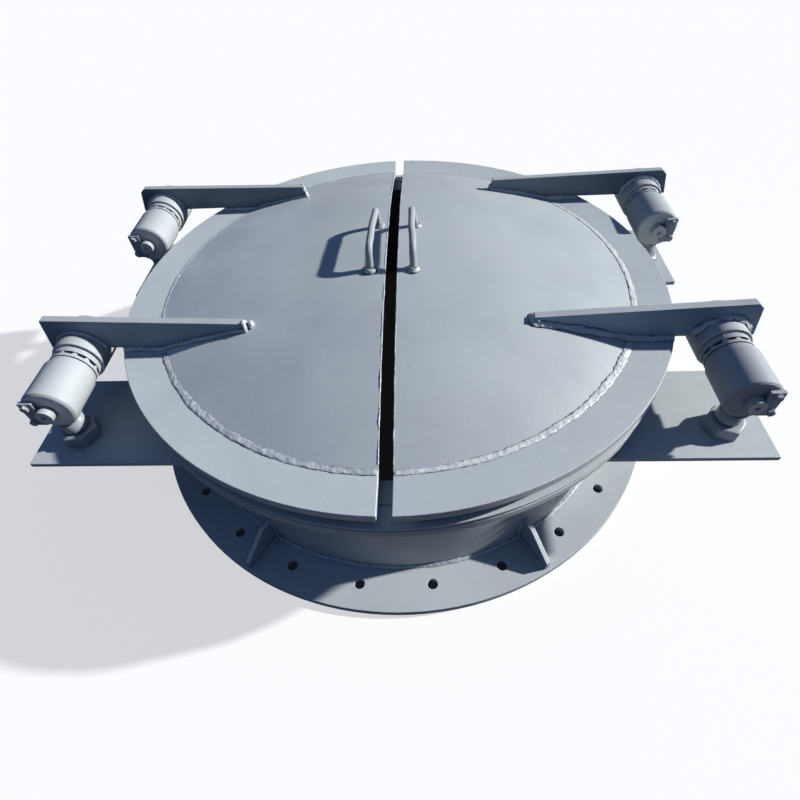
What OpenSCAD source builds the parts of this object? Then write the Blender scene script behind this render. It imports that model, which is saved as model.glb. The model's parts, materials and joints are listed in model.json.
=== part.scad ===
// Double flap gate for a round duct: a bolted neck with a seat flange, and two
// half round flaps with domed plates. Each flap turns on two hinge units.
// Frame: X across, Y along the slit between the flaps, Z up.
// Origin at the centre of the base flange's underside. Millimetres.

/* [Base and neck] */
// Clear bore of the flange, neck and seat
bore_d = 1000; // [800:10:1200]
// Neck wall thickness
neck_wall = 10; // [6:1:16]
// Neck height between the base flange and the seat flange
neck_h = 251.7; // [200:0.1:320]
// Radial width of the base flange outside the neck
flange_rim = 90; // [75:1:120]
// Base flange thickness
flange_t = 16; // [10:1:25]
// Distance from the bolt circle to the base flange's edge
bolt_in = 50; // [30:1:60]
// Number of bolt holes
bolt_n = 24; // [12:4:36]
// Bolt hole diameter
bolt_hole_d = 20; // [14:1:30]

/* [Seat] */
// Radial width of the seat flange outside the neck
seat_rim = 57; // [40:1:68]
// How far the seat reaches into the bore
seat_in = 20; // [5:1:40]
// Seat flange thickness
seat_t = 16; // [10:1:24]
// Gasket thickness
gasket_t = 4; // [2:0.5:8]
// How far the gasket stays inside the seat's edge
gasket_in = 6; // [2:1:20]
// Seat ring thickness
seat_ring_t = 6; // [4:0.5:12]
// Distance from the seat ring's groove to its outer edge
groove_in = 39; // [20:1:60]
// Groove width
groove_w = 4; // [2:0.5:6]
// Groove depth
groove_depth = 3; // [1:0.5:3.5]

/* [Gussets] */
// Number of gussets round the neck
gusset_n = 6; // [4:2:12]
// Gusset plate thickness
gusset_t = 10; // [6:1:16]
// Gusset height above the base flange
gusset_h = 68; // [40:1:120]
// Flat top of a gusset, from the neck
gusset_top = 25; // [10:1:60]
// Distance from a gusset's outer end to the base flange's edge
gusset_in = 6; // [2:1:15]
// Upright lip at a gusset's outer end
gusset_lip = 24; // [3:1:30]

/* [Flaps] */
// Gap left under the closed flaps
seat_gap = 0.3; // [0.1:0.1:1]
// Seal ring height
seal_t = 24; // [12:1:40]
// Reach of the seal ring outside the neck
seal_out = 46; // [30:1:54]
// Distance from the bore to the seal ring's inner edge
seal_in = 16; // [4:1:25]
// Distance from the slit's middle to the end of a seal ring
seal_end = 48; // [20:1:90]
// Reach of the flap ring outside the neck
ring_out = 57; // [50:1:80]
// How far the flap ring reaches into the bore
ring_in = 20; // [10:1:40]
// Flap ring thickness
ring_t = 18; // [10:1:25]
// Width of the slit between the two flaps
slit_w = 23.4; // [8:0.2:40]
// Lap of the dome's foot on the flap ring
dome_lap = 13; // [10:1:30]
// Dome height above the ring
dome_h = 80; // [50:1:120]
// Dome plate thickness
dome_t = 8; // [5:1:12]
// Root gap left at welded seats
weld_gap = 0.3; // [0.1:0.1:0.5]

/* [Arms] */
// Arm plate thickness
arm_t = 16; // [10:1:22]
// Front face of the front arms
arm_y_front = -203; // [-240:1:-150]
// Front face of the rear arms
arm_y_rear = 322; // [280:1:380]
// Foot of the arms' outer end past the hinge axis
arm_end = 62; // [52:1:70]
// How far the outer end leans in from its foot to its top
arm_end_lean = 12; // [0:1:16]
// Front arms' top above the flap ring at the outer end
end_h_front = 77; // [60:1:100]
// Rear arms' top above the flap ring at the outer end
end_h_rear = 64; // [60:1:90]
// Underside of the arm's free end above the ring
arm_lift = 5; // [2:1:20]
// Reach of the front right arm inward from the hinge axis
arm_in_fr = 344; // [300:1:400]
// Reach of the front left arm inward from the hinge axis
arm_in_fl = 333; // [300:1:400]
// Top of the front tips above the ring
tip_h_front = 58; // [50:1:80]
// Reach of the rear arms inward from the hinge axis
arm_in_rear = 370; // [320:1:430]
// Top of the rear tips above the ring
tip_h_rear = 54; // [40:1:80]
// Clipped corner at the outer end
arm_clip = 10; // [5:1:25]
// Smaller clip of the front left arm
arm_clip_fl = 2; // [1:1:10]

/* [Hinge units] */
// Distance from the flap ring's edge to the hinge axis
hinge_out = 41; // [36:1:60]
// Shaft diameter
shaft_d = 30; // [20:1:40]
// Radial clearance on the shaft
shaft_fit = 0.05; // [0.02:0.01:0.1]
// Boss diameter
boss_d = 93; // [70:1:110]
// Housing diameter
housing_d = 90; // [70:1:100]
// Boss length in front of the arm
boss_front = 30; // [10:1:40]
// Boss length behind the arm
boss_back = 36; // [10:1:60]
// Gap between the boss and the plain ring
boss_gap = 3; // [1:0.5:6]
// Plain ring width
plain_ring_w = 10; // [4:1:14]
// Gap between the plain ring and the lock ring
ring_gap = 1.5; // [0.5:0.5:4]
// Notched lock ring width
lock_ring_w = 10.5; // [9:0.5:20]
// Step from the housing's round down to the rings and the housing's neck
ring_step = 3; // [0.5:0.5:6]
// Number of notches in the lock ring's back face
notch_n = 12; // [6:1:16]
// Notch depth
notch_depth = 5; // [2:0.5:8]
// Notch width at the lock ring's back face
notch_w = 20; // [14:1:21]
// Width of a notch's flat floor
notch_floor = 10; // [4:1:12]
// Gap between the lock ring and the housing
lock_gap = 2.5; // [1:0.5:8]
// Length of the housing's narrower neck
housing_neck = 11.5; // [4:0.5:20]
// Housing length in front of its neck
housing_l = 87; // [75:1:120]
// Chamfer on the housing's front rim
housing_rim = 4; // [1:0.5:6]
// Shaft end standing out of the housing
shaft_out = 16; // [10:1:30]
// Centre dimple diameter
dimple_d = 9; // [4:1:14]
// Centre dimple depth
dimple_depth = 3; // [1:1:6]

/* [Keepers] */
// Keeper plate thickness
keeper_t = 8; // [4:1:9]
// Keeper plate width
keeper_w = 26; // [18:1:32]
// Keeper plate height
keeper_h = 58; // [40:1:64]
// Depth of the keeper's slot in the shaft
keeper_bite = 3.7; // [2:0.1:6]
// Clearance round the keeper in its slot
keeper_fit = 0.2; // [0.1:0.1:0.5]

/* [Supports] */
// Side plate thickness
plate_t = 10; // [6:1:16]
// Drop from the hinge axis to the top of the side plates
plate_drop = 106; // [90:1:130]
// Front side plate reach past the hinge axis
plate_out_front = 80; // [60:1:100]
// Rear side plate reach past the hinge axis
plate_out_rear = 60; // [52:1:90]
// Reach of the front side plates ahead of the arm face
ahead_front = 197; // [170:1:240]
// Reach of the rear side plates ahead of the arm face
ahead_rear = 215; // [170:1:240]
// Reach of the side plates behind the arm face
plate_behind = 16; // [0:1:40]
// Stud diameter
stud_d = 36; // [24:1:42]
// Distance from the stud's axis to the housing's front end
stud_in = 26; // [24:1:60]
// Plain collar diameter at the stud's head
collar_d = 44; // [44:1:48]
// Drop from the hinge axis to the collar's underside
collar_drop = 74; // [55:1:76]
// Hex nut width across flats
nut_af = 60; // [46:1:75]
// Hex nut height
nut_h = 28; // [14:1:30]

/* [Handles] */
// Handle rod diameter
rod_d = 14; // [8:1:18]
// Handle distance from the middle
handle_x = 42; // [30:1:80]
// Front foot of the handles
handle_y0 = -74; // [-140:1:-50]
// Rear foot of the handles
handle_y1 = 87; // [30:1:120]
// Height of the bar's middle above the dome's crown
handle_h = 44; // [32:1:80]
// Bend radius of the handle rod
bend_r = 18; // [10:1:30]

/* [Hidden] */
$fn = 96;
eps = 1;
big = 3000;
neck_od = bore_d + 2 * neck_wall;
flange_od = neck_od + 2 * flange_rim;
bolt_pcd = flange_od - 2 * bolt_in;
seat_od = neck_od + 2 * seat_rim;
seat_id = bore_d - 2 * seat_in;
groove_od = seat_od - 2 * groove_in;
seal_od = neck_od + 2 * seal_out;
seal_id = bore_d + 2 * seal_in;
ring_od = neck_od + 2 * ring_out;
ring_id = bore_d - 2 * ring_in;
dome_d = ring_id + 2 * dome_lap;
neck_z = flange_t + neck_h;
gasket_z = neck_z + seat_t;
seat_ring_z = gasket_z + gasket_t;
seal_z = seat_ring_z + seat_ring_t + seat_gap;
ring_z = seal_z + seal_t;
top_z = ring_z + ring_t;
dome_r = (dome_d * dome_d / 4 + dome_h * dome_h) / (2 * dome_h);
dome_z = top_z + dome_h - dome_r;
hinge_x = ring_od / 2 + hinge_out;
plate_z = top_z - plate_drop;
lock_d = housing_d - 2 * ring_step;
plain0 = boss_front + boss_gap;
lock0 = plain0 + plain_ring_w + ring_gap;
house0 = lock0 + lock_ring_w + lock_gap;
house_body = house0 + housing_neck;
house1 = house_body + housing_l;
shaft_back = arm_t + boss_back;
shaft_front = house1 + shaft_out;
stud_off = house1 - stud_in;

// Flat ring round the duct's axis.
module disc_ring(z, h, od, id) {
  difference() {
    translate([0, 0, z]) cylinder(d = od, h = h, $fn = 180);
    translate([0, 0, z - eps]) cylinder(d = id, h = h + 2 * eps, $fn = 180);
  }
}

// Straight bar along -Y from the arm face: offsets count forward of the face.
module along(s, face, a, b, d) {
  translate([s * hinge_x, face - a, top_z])
    rotate([90, 0, 0])
      cylinder(d = d, h = b - a);
}

// Hollow bar on the hinge axis with a running fit on the shaft.
module sleeve(s, face, a, b, d) {
  difference() {
    along(s, face, a, b, d);
    along(s, face, a - eps, b + eps, shaft_d + 2 * shaft_fit);
  }
}

module half_space(s, gap) {
  translate([s > 0 ? gap : -big - gap, -big / 2, -big / 2])
    cube([big, big, big]);
}

module base_flange() {
  color("lightsteelblue")
  difference() {
    disc_ring(0, flange_t, flange_od, bore_d);
    for (i = [0 : bolt_n - 1])
      rotate([0, 0, -90 + (i + 0.5) * 360 / bolt_n])
        translate([bolt_pcd / 2, 0, -eps])
          cylinder(d = bolt_hole_d, h = flange_t + 2 * eps, $fn = 24);
  }
}

module neck() {
  color("slategray")
  disc_ring(flange_t, neck_h, neck_od, bore_d);
}

module seat_flange() {
  color("lightsteelblue")
  disc_ring(neck_z, seat_t, seat_od, seat_id);
}

module gasket() {
  color("darkslategray")
  disc_ring(gasket_z, gasket_t, seat_od - 2 * gasket_in, seat_id);
}

module seat_ring() {
  color("lightsteelblue")
  difference() {
    disc_ring(seat_ring_z, seat_ring_t, seat_od, seat_id);
    disc_ring(seat_ring_z + seat_ring_t - groove_depth, groove_depth + eps,
      groove_od, groove_od - 2 * groove_w);
  }
}

module gusset() {
  foot = neck_od / 2;
  root = foot - neck_wall;
  reach = flange_od / 2 - gusset_in;
  difference() {
    translate([0, gusset_t / 2, flange_t])
      rotate([90, 0, 0])
        linear_extrude(gusset_t)
          polygon([
            [root, 0], [reach, 0], [reach, gusset_lip],
            [foot + gusset_top, gusset_h], [root, gusset_h]]);
    cylinder(r = foot + weld_gap, h = 2 * gusset_h, $fn = 180);
  }
}

module gussets() {
  color("lightsteelblue")
  for (i = [0 : gusset_n - 1])
    rotate([0, 0, i * 360 / gusset_n])
      gusset();
}

module side_plate(s, face, ahead, out) {
  low = plate_z - plate_t - eps;
  plate_x = hinge_x + out;
  color("lightsteelblue")
  difference() {
    translate([s > 0 ? 0 : -plate_x, face - ahead, plate_z - plate_t])
      cube([plate_x, ahead + plate_behind, plate_t]);
    translate([0, 0, low])
      cylinder(d = neck_od + 2 * weld_gap, h = plate_t + 2 * eps, $fn = 180);
    translate([s * hinge_x, face - stud_off, low])
      cylinder(d = stud_d + 2 * weld_gap, h = plate_t + 2 * eps);
  }
}

// Threaded length through the side plate, with a plain collar under the housing.
module stud(s, face) {
  color("slategray")
  difference() {
    translate([s * hinge_x, face - stud_off, 0])
      union() {
        translate([0, 0, plate_z - plate_t])
          cylinder(d = stud_d, h = plate_drop + plate_t);
        translate([0, 0, top_z - collar_drop])
          cylinder(d = collar_d, h = collar_drop);
      }
    along(s, face, house0 - eps, house1 + eps, housing_d + 2 * weld_gap);
  }
}

module hex_nut(s, face) {
  translate([s * hinge_x, face - stud_off, plate_z])
    difference() {
      cylinder(d = nut_af / cos(30), h = nut_h, $fn = 6);
      translate([0, 0, -eps]) cylinder(d = stud_d + 2 * weld_gap, h = nut_h + 2 * eps);
    }
}

module hex_nuts() {
  color("slategray")
  for (s = [-1, 1])
    for (face = [arm_y_front, arm_y_rear])
      hex_nut(s, face);
}

// Housing with a narrower neck behind and a chamfered front rim.
module housing(s, face) {
  rim0 = house1 - housing_rim;
  color("lightsteelblue")
  difference() {
    union() {
      along(s, face, house0, house_body + eps, lock_d);
      along(s, face, house_body, rim0, housing_d);
      translate([s * hinge_x, face - rim0, top_z])
        rotate([90, 0, 0])
          cylinder(d1 = housing_d, d2 = housing_d - 2 * housing_rim, h = housing_rim);
    }
    along(s, face, house0 - eps, house1 + eps, shaft_d + 2 * shaft_fit);
  }
}

// Keeper plate's block on the shaft's outer side, grown by a clearance.
module keeper_block(s, face, fit) {
  inner = shaft_d / 2 - keeper_bite - fit;
  wide = keeper_w + 2 * fit;
  high = keeper_h + 2 * fit;
  translate([s * hinge_x + (s > 0 ? inner : -inner - wide), face - house1 - keeper_t - fit,
      top_z - high / 2])
    cube([wide, keeper_t + fit, high]);
}

module keeper_plates() {
  color("slategray")
  for (s = [-1, 1])
    for (face = [arm_y_front, arm_y_rear])
      keeper_block(s, face, 0);
}

module shaft(s, face) {
  color("gray")
  difference() {
    along(s, face, -shaft_back, shaft_front, shaft_d);
    along(s, face, shaft_front - dimple_depth, shaft_front + eps, dimple_d);
    keeper_block(s, face, keeper_fit);
  }
}

// Flat-floored notch across the lock ring's back face, running out along the radius.
module lock_notch() {
  rotate([0, 90, 0])
    linear_extrude(lock_d)
      polygon([
        [-notch_w / 2, eps], [notch_w / 2, eps], [notch_w / 2, 0],
        [notch_floor / 2, -notch_depth], [-notch_floor / 2, -notch_depth],
        [-notch_w / 2, 0]]);
}

// Plain ring next to the boss, then the ring with the notched back face.
module lock_rings(s, face) {
  color("lightsteelblue")
  union() {
    sleeve(s, face, plain0, plain0 + plain_ring_w, lock_d);
    difference() {
      sleeve(s, face, lock0, lock0 + lock_ring_w, lock_d);
      translate([s * hinge_x, face - lock0, top_z])
        for (i = [0 : notch_n - 1])
          rotate([0, (i + 0.5) * 360 / notch_n, 0])
            lock_notch();
    }
  }
}

module flap_ring(s) {
  color("lightsteelblue")
  intersection() {
    disc_ring(ring_z, ring_t, ring_od, ring_id);
    half_space(s, slit_w / 2);
  }
}

module seal_ring(s) {
  color("slategray")
  intersection() {
    disc_ring(seal_z, seal_t, seal_od, seal_id);
    half_space(s, seal_end);
  }
}

// Solid ball of the dome's outer sphere, grown or shrunk by a thickness.
module dome_ball(grow) {
  translate([0, 0, dome_z]) sphere(r = dome_r + grow, $fn = 720);
}

module dome(s) {
  color("lightsteelblue")
  intersection() {
    difference() {
      dome_ball(0);
      dome_ball(-dome_t);
    }
    translate([-big / 2, -big / 2, top_z]) cube([big, big, big]);
    half_space(s, slit_w / 2);
  }
}

// Arm plate standing on the flap ring and the dome, cut round for its boss.
module arm(s, face, arm_in, tip_h, end_h, clip) {
  rim = sqrt(ring_od * ring_od / 4 - pow(max(abs(face), abs(face + arm_t)), 2));
  tip_x = hinge_x - arm_in;
  foot_x = hinge_x + arm_end;
  end_x = foot_x - arm_end_lean;
  clip_x = end_x + arm_end_lean * clip / end_h;
  color("lightsteelblue")
  difference() {
    translate([0, face + arm_t, 0])
      rotate([90, 0, 0])
        linear_extrude(arm_t)
          polygon([
            [s * tip_x, top_z], [s * tip_x, top_z + tip_h],
            [s * (end_x - clip), top_z + end_h],
            [s * clip_x, top_z + end_h - clip],
            [s * foot_x, top_z + arm_lift],
            [s * rim, top_z + arm_lift], [s * rim, top_z]]);
    dome_ball(weld_gap);
    along(s, face, -arm_t - eps, eps, boss_d + 2 * weld_gap);
  }
}

module boss(s, face) {
  color("lightsteelblue")
  sleeve(s, face, -shaft_back, boss_front, boss_d);
}

// Rod piece turned through a quarter bend at a corner of the handle.
module bend(y, z, a) {
  translate([0, y, z])
    rotate([a, 0, 0])
      rotate([0, 90, 0])
        rotate_extrude(angle = 90, $fn = 64)
          translate([bend_r, 0]) circle(d = rod_d, $fn = 24);
}

module handle_leg(y, h) {
  translate([0, y, top_z]) cylinder(d = rod_d, h = h, $fn = 24);
}

module handle(s) {
  bar_h = dome_h + handle_h;
  bar_z = top_z + bar_h;
  color("lightsteelblue")
  difference() {
    translate([s * handle_x, 0, 0])
      union() {
        handle_leg(handle_y0, bar_h - bend_r);
        handle_leg(handle_y1, bar_h - bend_r);
        translate([0, handle_y1 - bend_r, bar_z])
          rotate([90, 0, 0])
            cylinder(d = rod_d, h = handle_y1 - handle_y0 - 2 * bend_r, $fn = 24);
        bend(handle_y1 - bend_r, bar_z - bend_r, 90);
        bend(handle_y0 + bend_r, bar_z - bend_r, 180);
      }
    dome_ball(weld_gap);
  }
}

base_flange();
neck();
seat_flange();
gasket();
seat_ring();
gussets();
side_plate(-1, arm_y_front, ahead_front, plate_out_front);  // side_plate_fl
side_plate(1, arm_y_front, ahead_front, plate_out_front);  // side_plate_fr
side_plate(-1, arm_y_rear, ahead_rear, plate_out_rear);  // side_plate_rl
side_plate(1, arm_y_rear, ahead_rear, plate_out_rear);  // side_plate_rr
stud(-1, arm_y_front);  // stud_fl
stud(1, arm_y_front);  // stud_fr
stud(-1, arm_y_rear);  // stud_rl
stud(1, arm_y_rear);  // stud_rr
hex_nuts();
housing(-1, arm_y_front);  // housing_fl
housing(1, arm_y_front);  // housing_fr
housing(-1, arm_y_rear);  // housing_rl
housing(1, arm_y_rear);  // housing_rr
shaft(-1, arm_y_front);  // shaft_fl
shaft(1, arm_y_front);  // shaft_fr
shaft(-1, arm_y_rear);  // shaft_rl
shaft(1, arm_y_rear);  // shaft_rr
lock_rings(-1, arm_y_front);  // lock_rings_fl
lock_rings(1, arm_y_front);  // lock_rings_fr
lock_rings(-1, arm_y_rear);  // lock_rings_rl
lock_rings(1, arm_y_rear);  // lock_rings_rr
keeper_plates();
flap_ring(-1);  // flap_ring_left
dome(-1);  // dome_left
seal_ring(-1);  // seal_ring_left
arm(-1, arm_y_front, arm_in_fl, tip_h_front, end_h_front, arm_clip_fl);  // arm_fl
arm(-1, arm_y_rear, arm_in_rear, tip_h_rear, end_h_rear, arm_clip);  // arm_rl
boss(-1, arm_y_front);  // boss_fl
boss(-1, arm_y_rear);  // boss_rl
handle(-1);  // handle_left
flap_ring(1);  // flap_ring_right
dome(1);  // dome_right
seal_ring(1);  // seal_ring_right
arm(1, arm_y_front, arm_in_fr, tip_h_front, end_h_front, arm_clip);  // arm_fr
arm(1, arm_y_rear, arm_in_rear, tip_h_rear, end_h_rear, arm_clip);  // arm_rr
boss(1, arm_y_front);  // boss_fr
boss(1, arm_y_rear);  // boss_rr
handle(1);  // handle_right
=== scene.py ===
import json
import math
import random

import bpy
from mathutils import Matrix, Vector, noise


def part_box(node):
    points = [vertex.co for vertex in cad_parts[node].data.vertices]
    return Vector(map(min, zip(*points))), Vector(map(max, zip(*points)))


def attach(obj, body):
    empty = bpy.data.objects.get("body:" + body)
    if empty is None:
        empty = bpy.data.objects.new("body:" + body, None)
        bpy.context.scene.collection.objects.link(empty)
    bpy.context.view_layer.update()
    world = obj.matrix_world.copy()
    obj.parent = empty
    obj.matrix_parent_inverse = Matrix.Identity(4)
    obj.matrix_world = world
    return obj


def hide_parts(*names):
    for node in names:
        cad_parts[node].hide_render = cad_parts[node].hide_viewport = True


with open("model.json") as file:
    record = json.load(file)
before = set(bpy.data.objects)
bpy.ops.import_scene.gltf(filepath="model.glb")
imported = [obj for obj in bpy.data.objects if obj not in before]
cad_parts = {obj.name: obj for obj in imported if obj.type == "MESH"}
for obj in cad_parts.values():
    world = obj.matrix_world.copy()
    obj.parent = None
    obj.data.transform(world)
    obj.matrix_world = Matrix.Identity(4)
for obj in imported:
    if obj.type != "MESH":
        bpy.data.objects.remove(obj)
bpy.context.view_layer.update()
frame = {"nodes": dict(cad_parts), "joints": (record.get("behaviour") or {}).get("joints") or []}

MM = 0.001
TAU = 2 * math.pi
NODES = frame["nodes"]
X = Vector((1, 0, 0))
Y = Vector((0, 1, 0))
UP = Vector((0, 0, 1))
CORNERS = ("fl", "fr", "rl", "rr")
# Name, body and side along X of each flap.
FLAPS = (("left", "left_flap", -1), ("right", "right_flap", 1))


# ---------------------------------------------------------------- sizes read from the frame

def low(node):
    """Corner of a node's box with the least X, Y and Z."""
    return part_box(node)[0]


def high(node):
    """Corner of a node's box with the greatest X, Y and Z."""
    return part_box(node)[1]


def width(node):
    """Size of a node along X."""
    return high(node).x - low(node).x


def side(corner):
    """-1 at the left flap and 1 at the right one."""
    return -1 if corner[1] == "l" else 1


def flap(corner):
    """Body of the flap that a corner's arm belongs to."""
    return "left_flap" if corner[1] == "l" else "right_flap"


top_z = high("flap_ring_right").z
slit = low("flap_ring_right").x
ring_r = high("flap_ring_right").y
foot_r = high("dome_right").y
dome_h = high("dome_right").z - low("dome_right").z
dome_r = (foot_r ** 2 + dome_h ** 2) / (2 * dome_h)
dome_mid = top_z + dome_h - dome_r
hinge_x = abs(frame["joints"][0]["pos_m"][0])
flange_top = high("base_flange").z
neck_r = high("neck").y
neck_top = high("neck").z


def dome_z(x, y):
    """Height of the dome's outer face, or of the flap ring outside the dome."""
    r2 = x * x + y * y
    if r2 >= foot_r ** 2:
        return top_z
    return dome_mid + math.sqrt(dome_r ** 2 - r2)


def dome_normal(x, y):
    """Outward normal of the dome, or straight up outside it."""
    if x * x + y * y >= foot_r ** 2:
        return UP.copy()
    return Vector((x, y, dome_z(x, y) - dome_mid)).normalized()


# ---------------------------------------------------------------- materials

# Dirt and painted shade in the plate's corners, bare rubbed steel, and the tint of the paint's cloudy
# places.
GRIME_AND_SHADE = (0.075, 0.082, 0.095)
BARE = (0.66, 0.69, 0.72)
HAZE_TINT = (1.13, 1.10, 1.05)
# Strength of the cloudy places, specks and runs.
HAZE = 0.35
SPECKS = 0.10
RUNS = 0.16
# Gain of the dark colour in specks and in runs.
SPECK_GAIN = 0.72
RUN_GAIN = 0.80
# Dirt and painted shade along a weld's toes and in its corners, and dirt in its pores.
TOE_DIRT_AND_SHADE = (0.05, 0.06, 0.085)
PORE_DIRT = (0.05, 0.05, 0.055)
CORNER_DIRT_AND_SHADE = (0.07, 0.075, 0.09)
# Width of the rubbed edges, and heights of the plate's waves, brush marks and orange peel, in metres.
EDGE_WEAR = 0.0026
WAVES = 0.0016
BRUSH = 0.00016
PEEL = 0.00006
# Heights of a weld's grain and fine grain, and reach of the dirt and painted shade in its corners, in
# metres.
GRAIN = 0.0006
FINE_GRAIN = 0.00015
WELD_DEEP = 0.006
# Shine of paint and weld, and how far the paint's roughness strays to both sides.
PAINT_SPECULAR = 0.45
WELD_SPECULAR = 0.5
SMOOTHER = 0.07
ROUGHER = 0.10
RUBBER_DARK = (0.020, 0.022, 0.026)
RUBBER_LIGHT = (0.045, 0.048, 0.055)
RUBBER_GRAIN = 0.0002


class Nodes:
    """Short way to build one material's node tree."""

    def __init__(self, name):
        self.mat = bpy.data.materials.new(name)
        self.mat.use_nodes = True
        self.tree = self.mat.node_tree
        self.bsdf = self.tree.nodes["Principled BSDF"]
        coord = self.tree.nodes.new("ShaderNodeTexCoord")
        self.place = coord.outputs["Object"]
        self.facing = coord.outputs["Normal"]

    def link(self, a, b):
        self.tree.links.new(a, b)

    def noise(self, scale, detail=3.0, rough=0.5, stretch=None):
        """Cloudy noise from 0 to 1, with its scale changed along each axis by stretch."""
        n = self.tree.nodes.new("ShaderNodeTexNoise")
        n.inputs["Scale"].default_value = scale
        n.inputs["Detail"].default_value = detail
        n.inputs["Roughness"].default_value = rough
        place = self.place
        if stretch:
            m = self.tree.nodes.new("ShaderNodeMapping")
            m.inputs["Scale"].default_value = stretch
            self.link(self.place, m.inputs["Vector"])
            place = m.outputs["Vector"]
        self.link(place, n.inputs["Vector"])
        return n.outputs["Fac"]

    def spots(self, scale):
        """Distance to the nearest of many scattered points."""
        v = self.tree.nodes.new("ShaderNodeTexVoronoi")
        v.inputs["Scale"].default_value = scale
        self.link(self.place, v.inputs["Vector"])
        return v.outputs["Distance"]

    def span(self, value, a, b, to_a=0.0, to_b=1.0):
        """A value's range from a to b spread over to_a to to_b, and cut off at both ends."""
        m = self.tree.nodes.new("ShaderNodeMapRange")
        m.inputs["From Min"].default_value = a
        m.inputs["From Max"].default_value = b
        m.inputs["To Min"].default_value = to_a
        m.inputs["To Max"].default_value = to_b
        self.link(value, m.inputs["Value"])
        return m.outputs["Result"]

    def math(self, kind, a, b=0.0):
        """Math node on one or two values, each a number or a socket."""
        m = self.tree.nodes.new("ShaderNodeMath")
        m.operation = kind
        for socket, value in zip(m.inputs, (a, b)):
            if isinstance(value, (int, float)):
                socket.default_value = value
            else:
                self.link(value, socket)
        return m.outputs[0]

    def mix(self, factor, a, b, kind="MIX"):
        """Mix of two colours, each a tuple or a socket."""
        m = self.tree.nodes.new("ShaderNodeMix")
        m.data_type = "RGBA"
        m.blend_type = kind
        for socket, value in ((m.inputs["Factor"], factor), (m.inputs["A"], a), (m.inputs["B"], b)):
            if isinstance(value, (int, float)):
                socket.default_value = value
            elif isinstance(value, tuple):
                socket.default_value = (*value, 1.0)
            else:
                self.link(value, socket)
        return m.outputs["Result"]

    def part(self, vector, axis):
        """One axis of a vector."""
        split = self.tree.nodes.new("ShaderNodeSeparateXYZ")
        self.link(vector, split.inputs[0])
        return split.outputs[axis]

    def edges(self, radius):
        """1 on rounded outer and inner edges, 0 on open faces."""
        bevel = self.tree.nodes.new("ShaderNodeBevel")
        bevel.samples = 4
        bevel.inputs["Radius"].default_value = radius
        plain = self.tree.nodes.new("ShaderNodeNewGeometry")
        dot = self.tree.nodes.new("ShaderNodeVectorMath")
        dot.operation = "DOT_PRODUCT"
        self.link(bevel.outputs["Normal"], dot.inputs[0])
        self.link(plain.outputs["Normal"], dot.inputs[1])
        return self.span(dot.outputs["Value"], 0.995, 0.80)

    def crevices(self, distance):
        """1 deep in corners, 0 in the open."""
        ao = self.tree.nodes.new("ShaderNodeAmbientOcclusion")
        ao.samples = 6
        ao.inputs["Distance"].default_value = distance
        return self.span(ao.outputs["AO"], 0.75, 0.2)

    def bump(self, pairs):
        """Stacks bumps, each (height, distance in metres)."""
        last = None
        for height, distance in pairs:
            b = self.tree.nodes.new("ShaderNodeBump")
            b.inputs["Distance"].default_value = distance
            self.link(height, b.inputs["Height"])
            if last:
                self.link(last, b.inputs["Normal"])
            last = b.outputs["Normal"]
        self.link(last, self.bsdf.inputs["Normal"])


def scaled(colour, gain):
    return tuple(c * gain for c in colour)


def paint_light_and_shade_by_facing(n, colour, painted_flank_shade, front, left, painted_light_ramp):
    """Paints light and shade by the way a face is turned. Each gain is a colour or None: painted shade on
    upright faces, painted light on faces along Y and painted light on faces turned to -X. The last
    argument paints light that grows along X, from a start to an end in metres, by a gain."""
    if painted_flank_shade:
        upright = n.span(n.part(n.facing, "Z"), 0.75, 0.35)
        colour = n.mix(upright, colour, painted_flank_shade, "MULTIPLY")
    if front:
        turned = n.span(n.math("ABSOLUTE", n.part(n.facing, "Y")), 0.80, 0.95)
        colour = n.mix(turned, colour, front, "MULTIPLY")
    if left:
        away = n.span(n.part(n.facing, "X"), -0.30, -0.90)
        colour = n.mix(away, colour, left, "MULTIPLY")
    if painted_light_ramp:
        start, end, gain = painted_light_ramp
        painted_light_share = n.span(n.part(n.place, "X"), start, end)
        colour = n.mix(painted_light_share, colour, (gain, gain, gain), "MULTIPLY")
    return colour


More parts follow.
